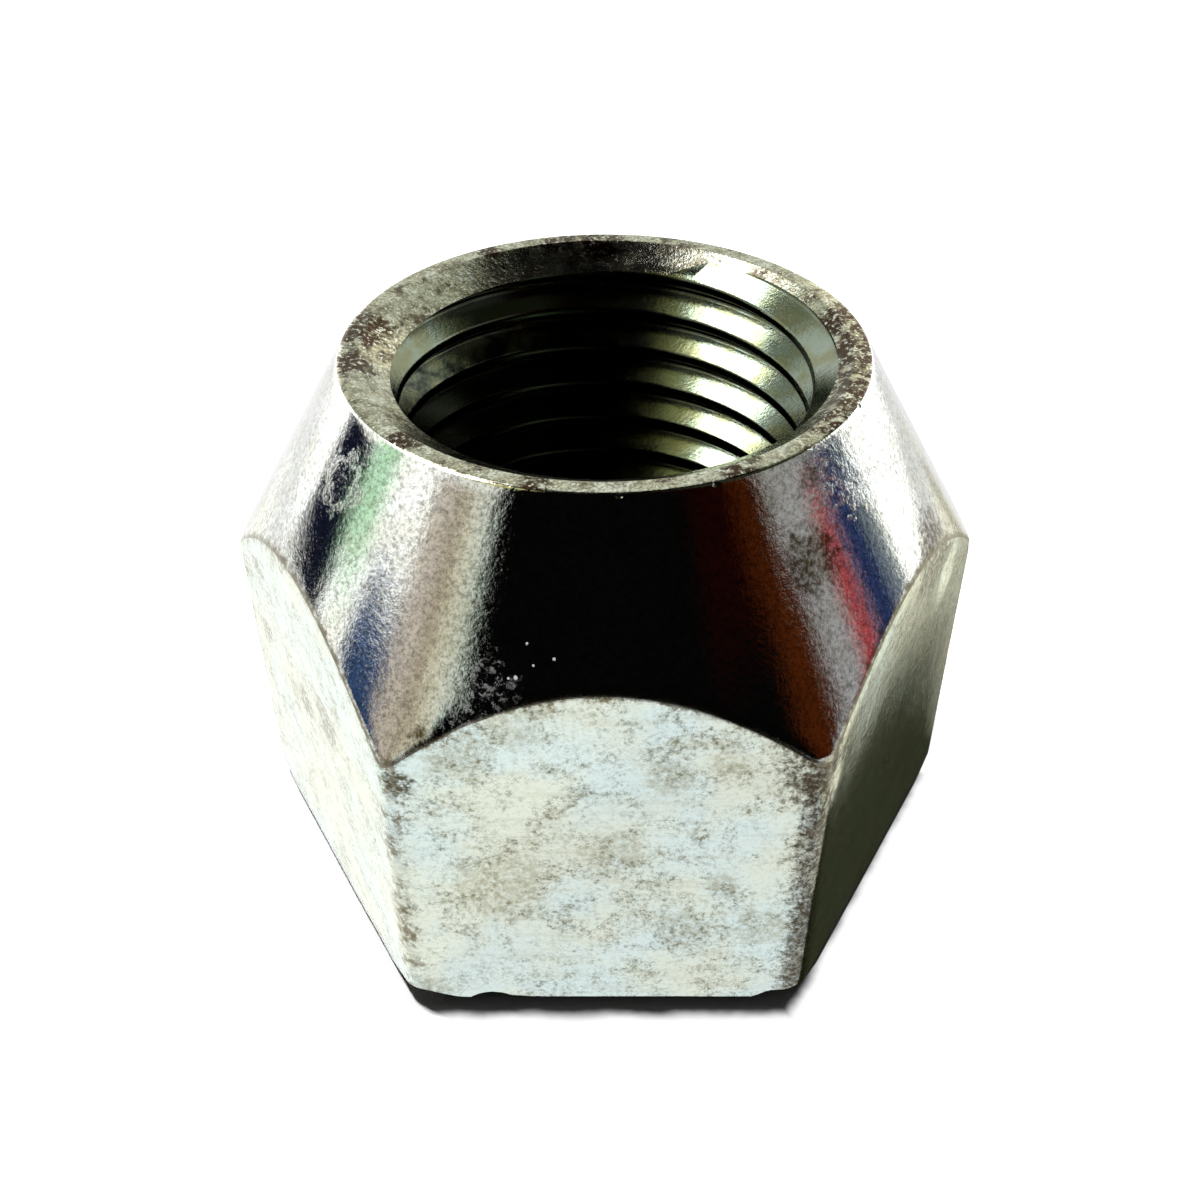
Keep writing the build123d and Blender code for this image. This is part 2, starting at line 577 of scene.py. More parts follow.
for name, measure in (("edge", edge_closeness), ("root", thread_depth)):
    layer = nut.data.attributes.new(name, "FLOAT", "POINT")
    layer.data.foreach_set("value", [measure(v.co) for v in nut.data.vertices])
    print(f"attribute {name} on {len(layer.data)} points")

# %% [markdown]
# ## Building a finish
# The four finishes are all zinc and share the same few nodes, so a small class adds
# them in one line each. Sizes are given in millimetres of the real surface. Noise on
# Object coordinates goes right through the piece, so no seam shows at an edge, as it
# would with a pattern laid on an unwrapped surface.

# %% Finish
NOISE_STEP = 7.3                  # moves each noise to its own place, so that none repeats
RAGGEDNESS = 2.4                  # how much noise eats into the outline of a spot
SPOT_EDGE = (2.45, 1.85)          # distance in radii plus ragged noise, where a spot ends and is full


class Finish:
    """A material's node tree, with short ways to add the nodes that the finishes share."""

    def __init__(self, material):
        self.material = material
        self.material.use_nodes = True
        self.tree = self.material.node_tree
        self.shader = self.tree.nodes["Principled BSDF"]
        self.place = self.tree.nodes.new("ShaderNodeTexCoord").outputs["Object"]
        self.seed = 0

    def add(self, kind, *values, output=0, **settings):
        """Adds a node, sets or links its first inputs in order, and returns one output."""
        made = self.tree.nodes.new(kind)
        for key, value in settings.items():
            setattr(made, key, value)
        for socket, value in zip([s for s in made.inputs if s.enabled], values):
            self.put(value, socket)
        return made.outputs[output]

    def put(self, value, socket):
        """Links an output to a socket, or sets it to a plain number or colour."""
        if isinstance(value, bpy.types.NodeSocket):
            self.tree.links.new(value, socket)
        elif value is not None:
            socket.default_value = (*value, 1) if socket.type == "RGBA" else value

    def noise(self, grain, detail=3.0, rough=0.55):
        """Noise about 0.5 whose lumps have this size in mm, or a size for each axis."""
        sizes = grain if isinstance(grain, tuple) else (grain,) * 3
        self.seed += 1
        per_metre = [1 / (size * MM) for size in sizes]
        scaled = self.add("ShaderNodeVectorMath", self.place, per_metre, operation="MULTIPLY")
        shift = (self.seed * NOISE_STEP,) * 3
        moved = self.add("ShaderNodeVectorMath", scaled, shift, operation="ADD")
        return self.add("ShaderNodeTexNoise", moved, 1.0, detail, rough)

    def mask(self, value, low, high):
        """0 at the low value and 1 at the high one, which may be the smaller, with a smooth rise."""
        rise = "SMOOTHSTEP"
        return self.add("ShaderNodeMapRange", value, low, high, 0.0, 1.0, interpolation_type=rise)

    def math(self, operation, a, b=0.5):
        """One sum on numbers or outputs."""
        return self.add("ShaderNodeMath", a, b, operation=operation)

    def both(self, a, b):
        """The product of two masks, or a mask made weaker by a number."""
        return self.math("MULTIPLY", a, b)

    def either(self, a, b):
        """The stronger of two masks."""
        return self.math("MAXIMUM", a, b)

    def mix(self, share, under, over):
        """Two colours, with the second showing by the share."""
        made = self.tree.nodes.new("ShaderNodeMix")
        made.data_type = "RGBA"
        for name, value in (("Factor_Float", share), ("A_Color", under), ("B_Color", over)):
            self.put(value, next(s for s in made.inputs if s.identifier == name))
        return next(s for s in made.outputs if s.identifier == "Result_Color")

    def mark(self, name):
        """One of the numbers kept on the mesh."""
        return self.add("ShaderNodeAttribute", output=2, attribute_name=name)

    def spots(self, places, ragged):
        """1 inside any of some (x, y, z, radius) spots in mm, with edges made ragged by noise."""
        total = 0.0
        for x, y, z, radius in places:
            centre = (x * MM, y * MM, z * MM)
            gap = self.add("ShaderNodeVectorMath", self.place, centre, operation="DISTANCE", output=1)
            scaled = self.math("MULTIPLY", gap, 1 / (radius * MM))
            inside = self.mask(self.math("ADD", scaled, self.both(ragged, RAGGEDNESS)), *SPOT_EDGE)
            total = self.either(inside, total)
        return total

    def bump(self, height_socket, depth, under=None):
        """A normal from a height, whose full range is this deep in mm, on top of another normal."""
        made = self.tree.nodes.new("ShaderNodeBump")
        made.inputs["Distance"].default_value = depth * MM
        self.put(height_socket, made.inputs["Height"])
        self.put(under, made.inputs["Normal"])
        return made.outputs[0]

    def finish(self, colour, metal, roughness, normal):
        """Plugs the finished colour, metal, roughness and normal into the shader."""
        inputs = self.shader.inputs
        self.put(colour, inputs["Base Color"])
        self.put(metal, inputs["Metallic"])
        self.put(roughness, inputs["Roughness"])
        self.put(normal, inputs["Normal"])
        print(f"{self.material.name}: {len(self.tree.nodes)} nodes")


print("finish helpers ready")

# %% [markdown]
# ## The forged flats
# The flats keep the skin of the forging: fine grey grain under the zinc, cloudy patches
# where the plate is thicker, yellow-brown stains from handling, and dark pores. The
# edges are rubbed and hold old dirt, so colour and roughness follow the edge number.
# The corner to the right of the front flat is painted dark down its length as painted
# shade. Noise alone would spread the marks evenly, so the larger ones are placed as spots
# and noise only breaks them up.

# %% Marks on the flats
FLAT_STAINS = [  # x, y, z and radius in mm
    (-3.6, -9.5, 9.9, 0.8), (-2.2, -9.5, 10.9, 0.7), (1.6, -9.5, 9.2, 0.6), (3.1, -9.5, 9.6, 0.5),
    (3.1, -9.5, 5.3, 0.4), (2.1, -9.5, 3.4, 0.8), (-2.7, -9.5, 5.2, 1.3), (4.2, -9.5, 3.4, 0.7),
    (-4.9, -9.5, 0.6, 0.6), (0.2, -9.5, 6.4, 0.9),
]
FLAT_BRUISES = [
    (-5.1, -9.5, 8.9, 0.5), (5.2, -9.4, 9.4, 0.9), (8.9, -3.6, 11.4, 1.2), (8.2, 4.9, 8.0, 0.7),
]
CORNER_SHADE = [  # painted shade, all down the corner to the right of the front flat
    (5.4, -9.4, 8.2, 1.6), (5.4, -9.4, 5.7, 1.8), (5.4, -9.4, 3.3, 1.6), (5.4, -9.4, 1.0, 1.5),
]
FLAT_SCUFFS = [
    (-7.7, -5.8, 7.4, 0.8), (-8.6, -4.2, 6.8, 0.6), (-10.0, -1.7, 9.7, 0.4), (-10.1, -1.6, 7.3, 0.35),
]
FLAT_COLOURS = {
    "blue zinc": (0.69, 0.81, 0.80), "yellow zinc": (0.74, 0.79, 0.69), "grain": (0.15, 0.16, 0.12),
    "streak": (0.40, 0.38, 0.26), "stain": (0.30, 0.27, 0.15), "scuff": (0.20, 0.19, 0.14),
    "worn": (0.13, 0.095, 0.04), "pore": (0.12, 0.12, 0.07), "bruise": (0.08, 0.07, 0.04),
    "corner_shade": (0.04, 0.027, 0.012),
}
marks = len(FLAT_STAINS + FLAT_BRUISES + CORNER_SHADE + FLAT_SCUFFS)
print(f"{marks} marks placed on the flats")


# %% Forged finish
def forged_finish():
    """Grey-blue zinc over forged steel, with its grain, stains, pores and worn edges, and painted shade
    down one corner.
    """
    f = Finish(zinc[ZONES.index("forged")])
    tone = FLAT_COLOURS
    cloud, patch = f.noise(3.0, 3), f.noise(0.8, 5, 0.7)
    speck, grain = f.noise(0.16, 3, 0.7), f.noise(0.15, 5, 0.85)
    ragged, streak, crumb = f.noise(0.35, 4, 0.7), f.noise((2.2, 2.2, 0.22), 3), f.noise(0.22, 4, 0.75)
    edge = f.mark("edge")
    worn = f.mask(f.math("ADD", edge, f.both(crumb, 2.6)), 2.05, 2.4)
    worn = f.both(worn, f.math("ADD", f.both(f.mask(patch, 0.42, 0.56), 0.75), 0.25))
    stain = f.either(f.both(f.mask(patch, 0.54, 0.66), 0.5), f.both(f.spots(FLAT_STAINS, ragged), 0.5))
    scuff = f.both(f.spots(FLAT_SCUFFS, ragged), f.mask(speck, 0.36, 0.56))
    bruise = f.both(f.spots(FLAT_BRUISES, ragged), f.mask(speck, 0.30, 0.60))
    pores = f.both(f.mask(speck, 0.54, 0.64), f.mask(patch, 0.44, 0.60))
    dense = f.math("ADD", f.both(f.mask(patch, 0.38, 0.62), 0.62), 0.16)
    # painted shade: the corner to the right of the front flat is painted dark in place of a dark
    # reflection
    band = f.mask(f.math("ADD", edge, f.both(crumb, 1.8)), 1.3, 1.75)
    flecked = f.math("ADD", f.both(f.mask(grain, 0.42, 0.56), 0.6), 0.36)
    corner_shade = f.both(f.both(f.spots(CORNER_SHADE, ragged), band), flecked)
    colour = f.mix(f.mask(cloud, 0.38, 0.62), tone["blue zinc"], tone["yellow zinc"])
    colour = f.mix(f.both(f.mask(grain, 0.56, 0.36), dense), colour, tone["grain"])
    colour = f.mix(f.both(f.mask(streak, 0.5, 0.7), 0.2), colour, tone["streak"])
    colour = f.mix(f.both(stain, f.mask(speck, 0.30, 0.62)), colour, tone["stain"])
    colour = f.mix(scuff, colour, tone["scuff"])
    colour = f.mix(f.both(worn, 0.8), colour, tone["worn"])
    colour = f.mix(f.both(pores, 0.7), colour, tone["pore"])
    colour = f.mix(bruise, colour, tone["bruise"])
    colour = f.mix(corner_shade, colour, tone["corner_shade"])
    roughness = f.mask(f.math("ADD", patch, f.both(worn, 0.3)), -0.35, 4.0)
    normal = f.bump(patch, 0.008, f.bump(speck, 0.004))
    f.finish(colour, 1.0, roughness, f.bump(grain, 0.003, normal))


forged_finish()

# %% [markdown]
# ## The turned cone
# The seat was cut on a lathe, so it is the smoothest face: close rings run round it, and
# the plate over them is bright enough to mirror the room. Fine grain breaks the edges
# of those reflections into specks. The few white flecks are bare crumbs on the plate,
# not metal, because a mirror facing the dark would never show them.

# %% Marks on the cone
CONE_STAINS = [  # x, y, z and radius in mm
    (5.0, -6.7, 13.8, 0.8), (-4.3, -9.4, 10.4, 0.4), (4.9, -5.6, 15.4, 0.3), (8.9, -3.6, 11.8, 1.1),
]
CONE_KNOCKS = [(5.9, -4.5, 15.5, 1.2), (6.9, -3.0, 15.0, 1.0), (-6.6, -4.6, 14.6, 0.7)]
CONE_GRIT = [(-2.9, -9.1, 11.8, 0.8), (-3.6, -9.2, 11.2, 0.7)]
CONE_FLECKS = [
    (-2.08, -9.13, 12.16, 0.05), (-1.17, -9.00, 12.62, 0.04), (-1.80, -8.74, 12.88, 0.04),
    (-1.66, -9.03, 12.45, 0.03), (-2.25, -9.11, 12.12, 0.03),
]
CONE_COLOURS = {
    "bright zinc": (0.84, 0.86, 0.83), "hazy zinc": (0.74, 0.75, 0.68), "grain": (0.12, 0.12, 0.10),
    "pit": (0.16, 0.15, 0.11), "worn": (0.10, 0.075, 0.035), "fleck": (0.85, 0.90, 0.88),
}
print(f"{len(CONE_STAINS + CONE_KNOCKS + CONE_GRIT + CONE_FLECKS)} marks placed on the cone")


# %% Turned finish
def turned_finish():
    """Bright plate over the rings of the lathe, with knocks near the rim and specks all over."""
    f = Finish(zinc[ZONES.index("turned")])
    tone = CONE_COLOURS
    haze, rings, ragged = f.noise(1.3, 4, 0.6), f.noise((6.0, 6.0, 0.06), 2), f.noise(0.3, 4, 0.7)
    grain, speck, crumple = f.noise(0.14, 5, 0.85), f.noise(0.18, 4, 0.75), f.noise(0.28, 4, 0.65)
    edge, knocked = f.mark("edge"), f.spots(CONE_KNOCKS, ragged)
    worn = f.mask(f.math("ADD", edge, f.both(ragged, 1.1)), 1.15, 1.5)
    stain = f.both(f.spots(CONE_STAINS, ragged), f.mask(speck, 0.26, 0.62))
    grit = f.both(f.spots(CONE_GRIT, ragged), f.mask(speck, 0.52, 0.60))
    fleck = f.either(f.both(grit, 0.35), f.spots(CONE_FLECKS, grain))
    colour = f.mix(f.mask(haze, 0.40, 0.66), tone["bright zinc"], tone["hazy zinc"])
    colour = f.mix(f.mask(grain, 0.36, 0.58), f.mix(0.6, colour, tone["grain"]), colour)
    colour = f.mix(f.both(f.mask(speck, 0.55, 0.66), 0.55), colour, tone["pit"])
    colour = f.mix(f.either(f.both(worn, 0.85), stain), colour, tone["worn"])
    colour = f.mix(fleck, colour, tone["fleck"])
    metal = f.math("SUBTRACT", 1.0, fleck)
    roughness = f.mask(f.math("ADD", haze, worn), 0.05, 5.2)
    lumps = f.both(crumple, f.math("ADD", f.both(knocked, 0.25), 0.10))
    normal = f.bump(lumps, 0.05, f.bump(rings, 0.0006))
    f.finish(colour, metal, roughness, f.bump(speck, 0.0055, normal))


turned_finish()

# %% [markdown]
# ## The rim and the base
# The two ends were faced off flat and then knocked about in the tumbler. They are duller
# and darker than the cone, with brown stains where the plate has worn thin. The same
# noises serve as on the flats, at a finer size, because the rim is only half a
# millimetre wide.

# %% Marks on the rim
RIM_STAINS = [  # x, y, z and radius in mm
    (-6.7, 0.9, 16.0, 1.1), (-6.7, -1.0, 16.0, 0.7), (-1.4, 6.8, 16.0, 0.7), (-0.3, 6.5, 15.9, 0.9),
    (6.6, -2.4, 16.0, 1.4), (6.9, -0.4, 16.0, 1.2), (6.8, 1.4, 16.0, 1.0), (5.7, -4.0, 16.0, 0.8),
    (-4.9, -4.9, 16.0, 0.5), (3.2, -6.2, 16.0, 0.5), (-3.5, 5.9, 16.0, 0.4), (-1.6, -6.8, 16.0, 0.4),
]
RIM_COLOURS = {
    "zinc": (0.86, 0.88, 0.78), "thin zinc": (0.60, 0.58, 0.45), "grain": (0.12, 0.11, 0.08),
    "mottle": (0.20, 0.18, 0.13), "stain": (0.06, 0.032, 0.018), "speck": (0.90, 0.92, 0.85),
}
print(f"{len(RIM_STAINS)} stains placed on the rim")


# %% Faced finish
def faced_finish():
    """Dull zinc with brown stains and small bright specks."""
    f = Finish(zinc[ZONES.index("faced")])
    tone = RIM_COLOURS
    blotch, speck, grain = f.noise(0.7, 5, 0.7), f.noise(0.14, 3, 0.7), f.noise(0.08, 2, 0.6)
    ragged, mottle = f.noise(0.3, 4, 0.7), f.noise(0.45, 4, 0.7)
    stain = f.either(f.both(f.mask(blotch, 0.52, 0.62), 0.8), f.spots(RIM_STAINS, ragged))
    colour = f.mix(f.mask(blotch, 0.34, 0.52), tone["zinc"], tone["thin zinc"])
    colour = f.mix(f.mask(grain, 0.36, 0.60), f.mix(0.55, colour, tone["grain"]), colour)
    colour = f.mix(f.both(f.mask(mottle, 0.50, 0.60), 0.6), colour, tone["mottle"])
    colour = f.mix(f.both(stain, f.mask(mottle, 0.36, 0.50)), colour, tone["stain"])
    colour = f.mix(f.both(f.mask(speck, 0.57, 0.63), 0.8), colour, tone["speck"])
    roughness = f.mask(blotch, -0.2, 2.6)
    normal = f.bump(blotch, 0.010, f.bump(speck, 0.006))
    f.finish(colour, 1.0, roughness, f.bump(grain, 0.003, normal))


faced_finish()

# %% [markdown]
# ## The thread
# A tap tears the steel slightly along its path. The thread's colours are darker than the
# outside zinc, partly from the duller tapped steel and partly as painted shade of the bore. The
# flanks that face up shine. The faces that face down and the crests are painted a dark
# greenish shade, the thread darkens towards its roots, and one side below the first turns
# is painted near black as shade. Which way a face looks is read from its normal, which is
# quicker than giving each flank a material of its own.

# %% Tapped finish
# These colours are darker than the outside zinc: partly the duller tapped steel, partly painted shade
# of the bore. The near-black colour and the under colour are painted shade outright.
THREAD_COLOURS = {
    "zinc": (0.14, 0.17, 0.135), "oily zinc": (0.12, 0.13, 0.075), "pit": (0.10, 0.11, 0.07),
    "root_darkening": (0.05, 0.055, 0.035), "left_shade": (0.004, 0.005, 0.003), "under": (0.022, 0.028, 0.02),
}
SHADE_SIDE = (1.5 * MM, -0.5 * MM)    # along x, where the painted shade starts and is full
SHADE_DEPTH = (2.0 * MM, 3.2 * MM)    # the same, down from the rim
SHADE_WAVE = 4 * MM                   # how far noise moves those borders


def tapped_finish():
    """Dark, oily metal that shines only where it faces up, with painted shade where it doesn't and on
    one side of the bore.
    """
    f = Finish(zinc[ZONES.index("tapped")])
    tone = THREAD_COLOURS
    drag, speck, patch = f.noise((3.0, 3.0, 0.05), 3), f.noise(0.10, 3, 0.7), f.noise(0.8, 4)
    facing = f.add("ShaderNodeNewGeometry", output=1)
    # painted shade: faces whose normal barely points up, the crests and the undersides, get the dark
    # under colour
    facing_up_unshaded = f.mask(f.add("ShaderNodeSeparateXYZ", facing, output=2), 0.2, 0.6)
    # darker towards the thread's roots, broken up by noise
    root_darkening = f.mask(f.math("ADD", f.mark("root"), f.both(patch, 0.6)), 1.0, 1.5)
    # painted shade: one side of the bore, below the first turns, painted near black
    x, z = [f.add("ShaderNodeSeparateXYZ", f.place, output=axis) for axis in (0, 2)]
    shift = f.both(f.math("SUBTRACT", patch, 0.5), SHADE_WAVE)
    side = f.mask(f.math("ADD", x, shift), *SHADE_SIDE)
    below = f.mask(f.math("ADD", z, shift), *[height - depth for depth in SHADE_DEPTH])
    left_shade = f.both(side, below)
    colour = f.mix(f.mask(patch, 0.4, 0.62), tone["zinc"], tone["oily zinc"])
    colour = f.mix(f.both(f.mask(speck, 0.56, 0.66), 0.5), colour, tone["pit"])
    colour = f.mix(f.both(root_darkening, 0.4), colour, tone["root_darkening"])
    colour = f.mix(f.both(left_shade, 0.97), colour, tone["left_shade"])
    # painted shade on the faces that don't face up
    colour = f.mix(facing_up_unshaded, tone["under"], colour)
    roughness = f.mask(f.math("ADD", patch, f.both(root_darkening, 0.3)), -0.5, 3.6)
    normal = f.bump(drag, 0.002, f.bump(speck, 0.005))
    f.finish(colour, 1.0, roughness, normal)


tapped_finish()
for k, zone in enumerate(ZONES):
    print(f"{zone}: {sum(p.material_index == k for p in nut.data.polygons)} faces")

# %% [markdown]
# ## The floor
# The nut stands on white paper. The paper keeps the nut's shadow close to it and is
# plain white further off. More light would wash the zinc out, so the white is a glow
# that only the camera sees, and it fades in along a hexagon round the foot.

# %% Floor
FLOOR_SIZE = 3.0                  # metres
PAPER = (0.9, 0.9, 0.9)
WHITE_FROM = -0.35 * MM           # past the flats, where the glow starts
WHITE_BY = 0.08 * MM              # and where it is full
WHITE_SHIFT = (0.20 * MM, 0.52 * MM, 0)  # keeps more of the shadow in front
WHITE_RAGGED = 0.3 * MM           # how far noise moves the glow's edge

bm = bmesh.new()
bmesh.ops.create_grid(bm, x_segments=1, y_segments=1, size=FLOOR_SIZE / 2)
floor = as_object(bm, "floor")
paper = Finish(bpy.data.materials.new("floor_paper"))
shifted = paper.add("ShaderNodeVectorMath", paper.place, WHITE_SHIFT, operation="ADD")
beyond = 0.0
for degrees in (30, 90, 150):     # the three ways that the flats face
    across = (math.cos(math.radians(degrees)), math.sin(math.radians(degrees)), 0)
    along = paper.add("ShaderNodeVectorMath", shifted, across, operation="DOT_PRODUCT", output=1)
    beyond = paper.either(paper.math("ABSOLUTE", along), beyond)
ragged = paper.both(paper.math("SUBTRACT", paper.noise(1.2, 3), 0.5), WHITE_RAGGED)
beyond = paper.math("ADD", beyond, ragged)
far = paper.mask(beyond, flat_reach + WHITE_FROM, flat_reach + WHITE_BY)
rays = paper.tree.nodes.new("ShaderNodeLightPath")
seen = paper.either(rays.outputs["Is Camera Ray"], rays.outputs["Is Transmission Ray"])
PAPER_INPUTS = {
    "Base Color": PAPER, "Roughness": 0.8, "Specular IOR Level": 0.1, "Emission Color": (1, 1, 1),
    "Emission Strength": paper.both(far, seen),
}
for name, value in PAPER_INPUTS.items():
    paper.put(value, paper.shader.inputs[name])
floor.data.materials.append(paper.material)
print(f"floor white from {(flat_reach + WHITE_BY) / MM:.2f} mm out")

# %% [markdown]
# ## The background
# The world is plain white to the camera and to reflections, at a strength of 1, and
# only a trace of it lights the nut. A world that lit it fully would fill the shadow and
# grey the dark sides, which is what gives polished metal its depth.

# %% World
SOFT_LIGHT = 0.03                 # strength of the world as a light

world = bpy.data.worlds.new("studio")
bpy.context.scene.world = world
world.use_nodes = True
tree = world.node_tree
tree.nodes.clear()
rays = tree.nodes.new("ShaderNodeLightPath").outputs
strength = tree.nodes.new("ShaderNodeMath")
strength.operation = "MULTIPLY_ADD"
seen = None
for name in ("Is Camera Ray", "Is Glossy Ray", "Is Transmission Ray"):
    either = tree.nodes.new("ShaderNodeMath")
    either.operation = "MAXIMUM"
    tree.links.new(rays[name], either.inputs[0])
    if seen:
        tree.links.new(seen, either.inputs[1])
    else:
        either.inputs[1].default_value = 0
    seen = either.outputs[0]
tree.links.new(seen, strength.inputs[0])
strength.inputs[1].default_value = 1 - SOFT_LIGHT
strength.inputs[2].default_value = SOFT_LIGHT
background = tree.nodes.new("ShaderNodeBackground")
background.inputs["Color"].default_value = (1, 1, 1, 1)
tree.links.new(strength.outputs[0], background.inputs["Strength"])
out = tree.nodes.new("ShaderNodeOutputWorld")
tree.links.new(background.outputs[0], out.inputs["Surface"])
print(f"world: {len(tree.nodes)} nodes, soft light {SOFT_LIGHT}")

# %% [markdown]
# ## What the metal mirrors
# Bright plate shows its surroundings more than itself, so the room matters as much as
# the finish. It is built from curved cards that only reflections see: the dark figure
# that holds the camera, a brown cupboard, a red and a blue thing beside it, white walls
# at both sides, a window high on the left, and the dark ceiling. Cards are used instead
# of lamps, because lamps would also light the paper and wash out the shadow on it.

# %% Card helpers
ROOM = 80.0                       # mm from the nut to the walls of the room
WALL_TOP = 76.0                   # degrees up, where a wall ends unless it says otherwise
CARD_GRID = (24, 12)              # enough parts to curve smoothly
SHEET_LIFT = 0.006 * MM           # of a sheet above the paper


def on_sphere(azimuth, elevation, distance):
    """Point at a distance: azimuth 0 is towards the camera and 90 to its right, in degrees."""
    a, e = math.radians(azimuth), math.radians(elevation)
    return Vector((math.sin(a) * math.cos(e), -math.cos(a) * math.cos(e), math.sin(e))) * distance


def lit_card(bm, name, colour, strength):
    """Makes a bmesh a glowing card that only straight reflections see."""
    made = as_object(bm, name)
    for kind in ("camera", "diffuse", "shadow", "transmission", "volume_scatter"):
        setattr(made, "visible_" + kind, False)
    material = bpy.data.materials.new(name)
    material.use_nodes = True
    tree = material.node_tree
    tree.nodes.clear()
    straight = tree.nodes.new("ShaderNodeMath")
    straight.operation = "LESS_THAN"
    tree.links.new(tree.nodes.new("ShaderNodeLightPath").outputs["Diffuse Depth"], straight.inputs[0])
    scaled = tree.nodes.new("ShaderNodeMath")
    scaled.operation = "MULTIPLY"
    scaled.inputs[1].default_value = strength
    tree.links.new(straight.outputs[0], scaled.inputs[0])
    glow = tree.nodes.new("ShaderNodeEmission")
    glow.inputs["Color"].default_value = (*colour, 1)
    tree.links.new(scaled.outputs[0], glow.inputs["Strength"])
    out = tree.nodes.new("ShaderNodeOutputMaterial")
    tree.links.new(glow.outputs[0], out.inputs[0])
    made.data.materials.append(material)


def card(name, low_left, top_right, colour, strength=1.0):
    """A curved card between two corners, each (azimuth, elevation, distance)."""
    bm = bmesh.new()
    bmesh.ops.create_grid(bm, x_segments=CARD_GRID[0], y_segments=CARD_GRID[1], size=0.5)
    for v in bm.verts:
        share = (v.co.x + 0.5, v.co.y + 0.5, v.co.y + 0.5)
        azimuth, elevation, distance = [a + (b - a) * t for a, b, t in zip(low_left, top_right, share)]
        v.co = on_sphere(azimuth, elevation, distance * MM)
    lit_card(bm, name, colour, strength)


def sheet(name, azimuth, near, far, left, right, colour, strength=1.0, lean=0.0, lift=1):
    """A card on the floor beside the flat that faces an azimuth; distances in mm from the axis."""
    bm = bmesh.new()
    bmesh.ops.create_grid(bm, x_segments=1, y_segments=1, size=0.5)
    out, along = on_sphere(azimuth, 0, MM), on_sphere(azimuth + 90, 0, MM)
    for v in bm.verts:
        away, side = v.co.y + 0.5, v.co.x + 0.5
        v.co = out * (near + (far - near) * away) + along * (left + lean * away + (right - left) * side)
        v.co.z = SHEET_LIFT * lift
    lit_card(bm, name, colour, strength)


def wall(name, start, end, colour, strength=1.0, low=0.0, top=WALL_TOP):
    """An upright card on the room's wall from one azimuth to another."""
    card(name, (start, low, ROOM), (end, top, ROOM), colour, strength)


def staged():
    """How many cards and sheets stand round the nut so far."""
    return sum(o.type == "MESH" and not o.visible_camera for o in bpy.context.scene.objects)


print(f"room of {2 * ROOM:.0f} mm across")

# %% [markdown]
# ## The room
# The cards go round the nut from the camera to the right, behind and back along the
# left. Each one is what a strip of the cone, the rim or the thread mirrors, so their
# borders are the borders of the streaks on the metal.

# %% Right half of the room
DARK = (0.002, 0.002, 0.002)
wall("photographer", -40, 31, DARK)
wall("red_brown", 31, 47, (0.010, 0.0015, 0.001), low=22)
wall("arm", 31, 51, DARK, top=22)
wall("cupboard_top", 47, 59, (0.055, 0.011, 0.002), low=22, top=42)
wall("cupboard", 51, 63, (0.070, 0.015, 0.003), top=22)
wall("lilac_top", 59, 98, (0.36, 0.35, 0.34), low=22, top=42)
wall("lilac", 63, 98, (0.38, 0.37, 0.38), top=22)
card("red", (75, 2, 78), (80.5, 20, 78), (0.45, 0.002, 0.008))
card("blue", (82, 2, 78), (92, 24, 78), (0.02, 0.035, 0.12))
card("slate_right", (92, 2, 78), (100, 24, 78), (0.22, 0.26, 0.30))
wall("white_right", 98, 150, (1, 1, 0.97), 2.1, top=42)
wall("olive_right", 47, 108, (0.03, 0.033, 0.02), low=42)
wall("cream_right", 108, 140, (0.28, 0.30, 0.18), low=42, top=62)
wall("olive_top", 108, 140, DARK, low=62)
wall("cream_back", 140, 166, (0.62, 0.66, 0.58), low=42, top=66)
wall("cream_low", 150, 166, (1, 0.98, 0.80), 1.3, top=42)
wall("back", 166, 200, (0.76, 0.79, 0.70), top=66)
wall("back_top", 140, 200, DARK, low=66)
print(f"{staged()} cards")

# %% Left half of the room
wall("left_top", -160, -150, DARK, low=56)
wall("white_left", -160, -113, (1, 1, 0.98), 1.9, top=36)
wall("cream_left", -160, -113, (0.62, 0.68, 0.58), low=36, top=56)
wall("skylight", -150, -113, (1, 1, 0.97), 4, low=56, top=72)
wall("window", -104, -67, (1, 1, 0.96), 20, low=44, top=66)
wall("window_side", -113, -104, (0.10, 0.12, 0.09), low=44, top=66)
wall("curtain", -67, -40, (0.85, 0.80, 0.35), low=44, top=66)
wall("pale_left", -113, -64, (1, 1, 0.98), 1.5, top=44)
card("navy", (-113, 2, 78), (-90, 17, 78), (0.008, 0.010, 0.025))
card("green", (-93, 12, 77), (-81, 30, 77), (0.66, 1.0, 0.70))
card("slate", (-77, 2, 78), (-62, 17, 78), (0.04, 0.08, 0.20))
wall("brown_grey", -64, -54, (0.66, 0.58, 0.50), top=30)
wall("door_frame", -54, -50, (0.38, 0.30, 0.20), top=30)
wall("cream_door", -50, -44, (0.78, 0.74, 0.58), top=30)
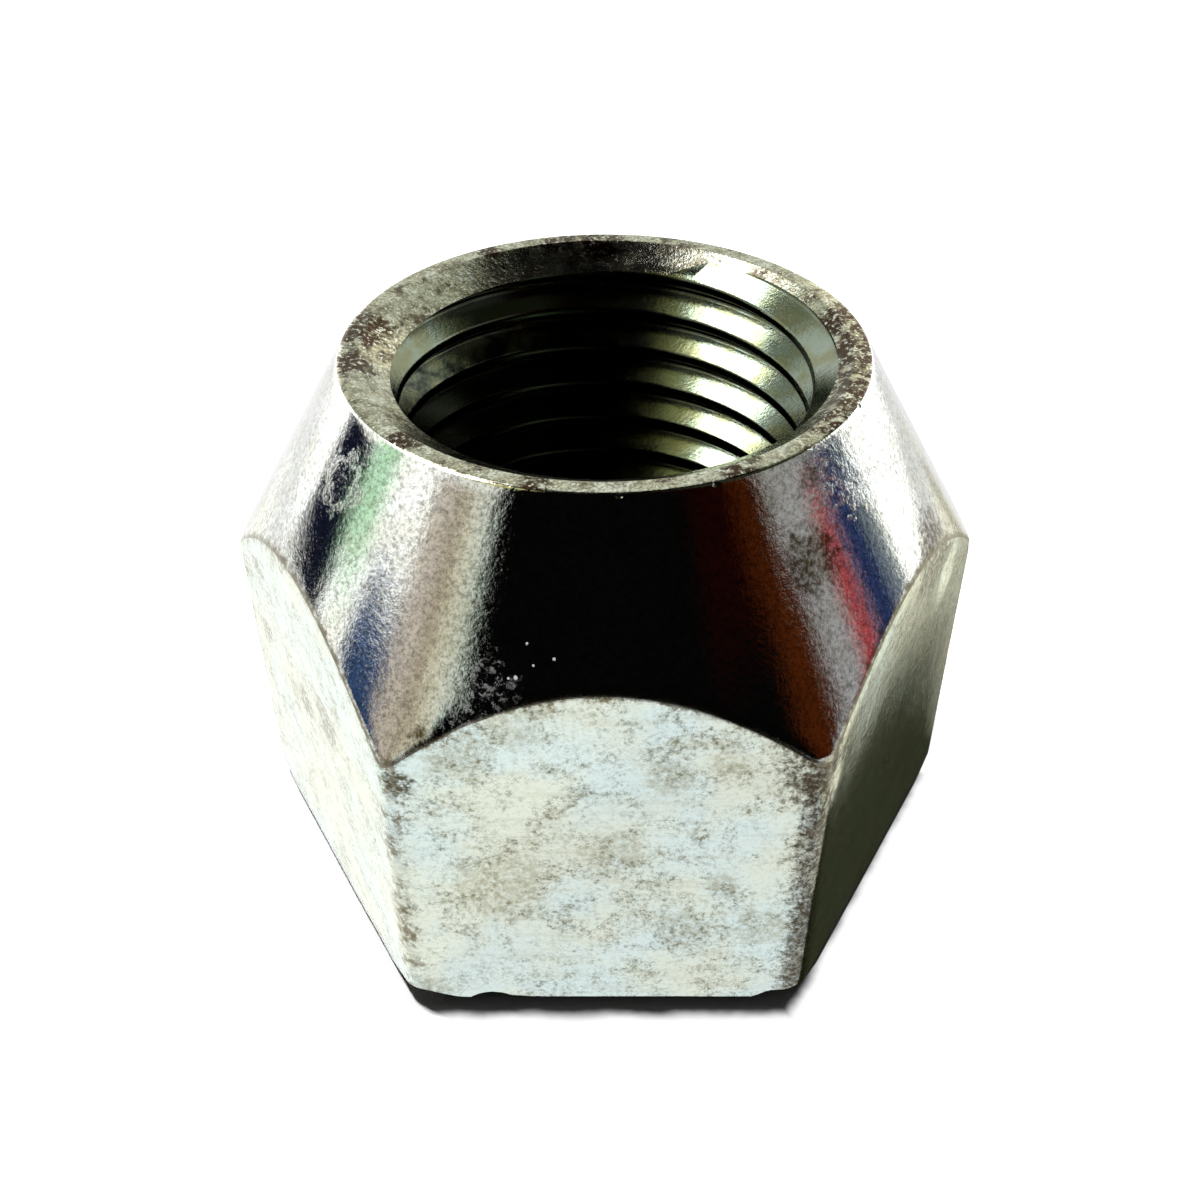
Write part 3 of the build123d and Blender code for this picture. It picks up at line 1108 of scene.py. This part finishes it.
wall("white_rim", -64, -40, (1, 1, 0.96), low=30, top=44)
wall("grey_green", -44, -40, (0.70, 0.78, 0.70), top=30)
wall("dark_left", -113, -40, (0.02, 0.02, 0.016), low=66, top=76)
card("ceiling", (-180, 74, ROOM), (180, 90, ROOM), DARK)
print(f"{staged()} cards")

# %% [markdown]
# ## What the flats mirror
# The upright flats are seen from above, so they mirror the paper round the foot and not
# the room. Thin sheets on the floor stand for its lit and shaded parts: bright in front
# and on the left, and in shade close to the right flat, further off in front and inside
# the bore.

# %% Sheets on the floor
card("under", (-180, 0.03, 0.1), (180, 0.03, 5.6), DARK)  # a dark disc standing for the shade on the paper inside the bore
sheet("paper_front", 0, 9.6, 30, -14, 14, (1, 1, 0.99))
# a dark sheet standing for a shadow on the paper further off in front
sheet("front_shadow", 0, 30, 80, -40, 40, DARK)
sheet("paper_left", -60, 9.6, 60, -40, 40, (1, 1, 0.94), 1.25)
sheet("shade_right", 60, 9.6, 12.8, -5.5, 40, (0.035, 0.038, 0.02))
sheet("paper_right", 60, 12.8, 60, -5.5, 40, (1, 0.97, 0.80), 1.1)
sheet("paper_back", 60, 9.6, 11.6, 6.5, 40, (0.80, 0.76, 0.60), lean=8.5, lift=2)
print(f"{staged()} cards and sheets")

# %% [markdown]
# ## The lamp
# One small lamp, high behind the left side, drops the short soft shadow to the right and
# front of the foot. It isn't mirrored, because the cards are already all that the metal
# should show.

# %% Key lamp
def area_lamp(name, azimuth, elevation, distance, size, watts):
    """A square lamp on a sphere round the nut, aimed at its foot; metres and watts."""
    data = bpy.data.lights.new(name, "AREA")
    data.shape = "SQUARE"
    data.size = size
    data.energy = watts
    lamp = bpy.data.objects.new(name, data)
    bpy.context.scene.collection.objects.link(lamp)
    spot = on_sphere(azimuth, elevation, distance)
    lamp.location = spot
    lamp.rotation_mode = "QUATERNION"
    lamp.rotation_quaternion = (-spot).to_track_quat("-Z", "Y")
    lamp.visible_glossy = False
    print(f"lamp {name} of {watts} W, {distance:.2f} m away")


area_lamp("key", azimuth=-120, elevation=74, distance=0.3, size=0.025, watts=0.98)
